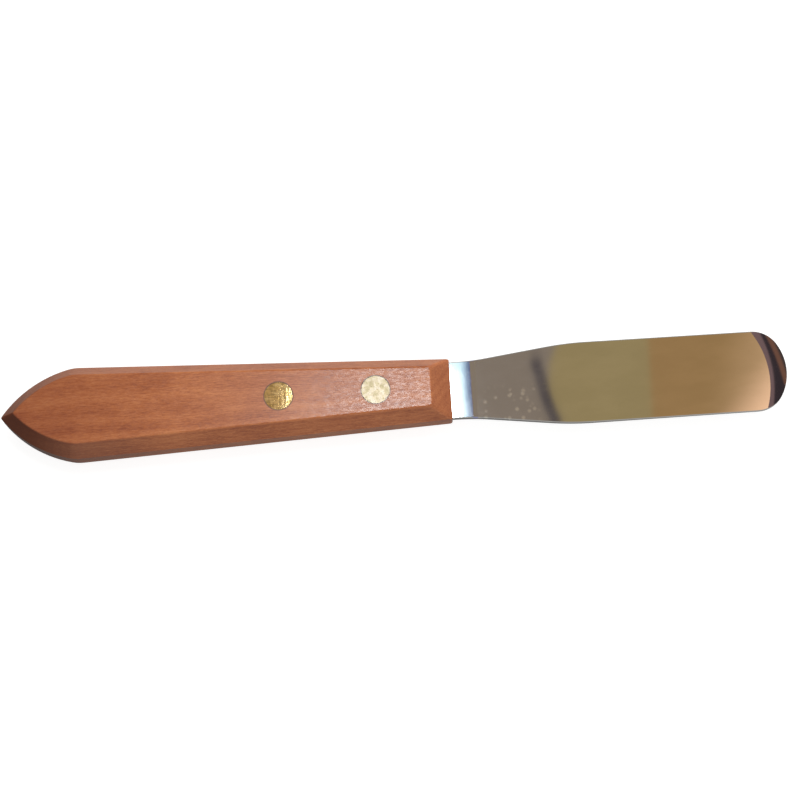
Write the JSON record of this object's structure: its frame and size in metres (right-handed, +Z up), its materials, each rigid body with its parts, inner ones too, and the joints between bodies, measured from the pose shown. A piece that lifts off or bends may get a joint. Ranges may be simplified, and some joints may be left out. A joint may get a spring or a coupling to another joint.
{
  "type": "palette knife",
  "caption": "Straight palette knife: taper-ground steel blade with a rounded tip, half tang in a bevelled, pointed hardwood handle held by brass rivets.",
  "frame": {"origin": "under the middle of the whole length and width, on the plane of the handle's lower flat face", "axes": "+X along the knife towards the blade's tip, +Y across the knife, +Z up, square to the handle's flat faces"},
  "size_m": [0.1778, 0.0212, 0.0114],
  "materials": {
    "polished_steel": "polished",
    "lacquered_hardwood": "satin",
    "rivet_brass": "gloss"
  },
  "bodies": {
    "root": {"blade": "polished_steel", "handle": "lacquered_hardwood", "front_rivet_female": "rivet_brass", "front_rivet_male": "rivet_brass", "rear_rivet_female": "rivet_brass", "rear_rivet_male": "rivet_brass"}
  },
  "joints": []
}
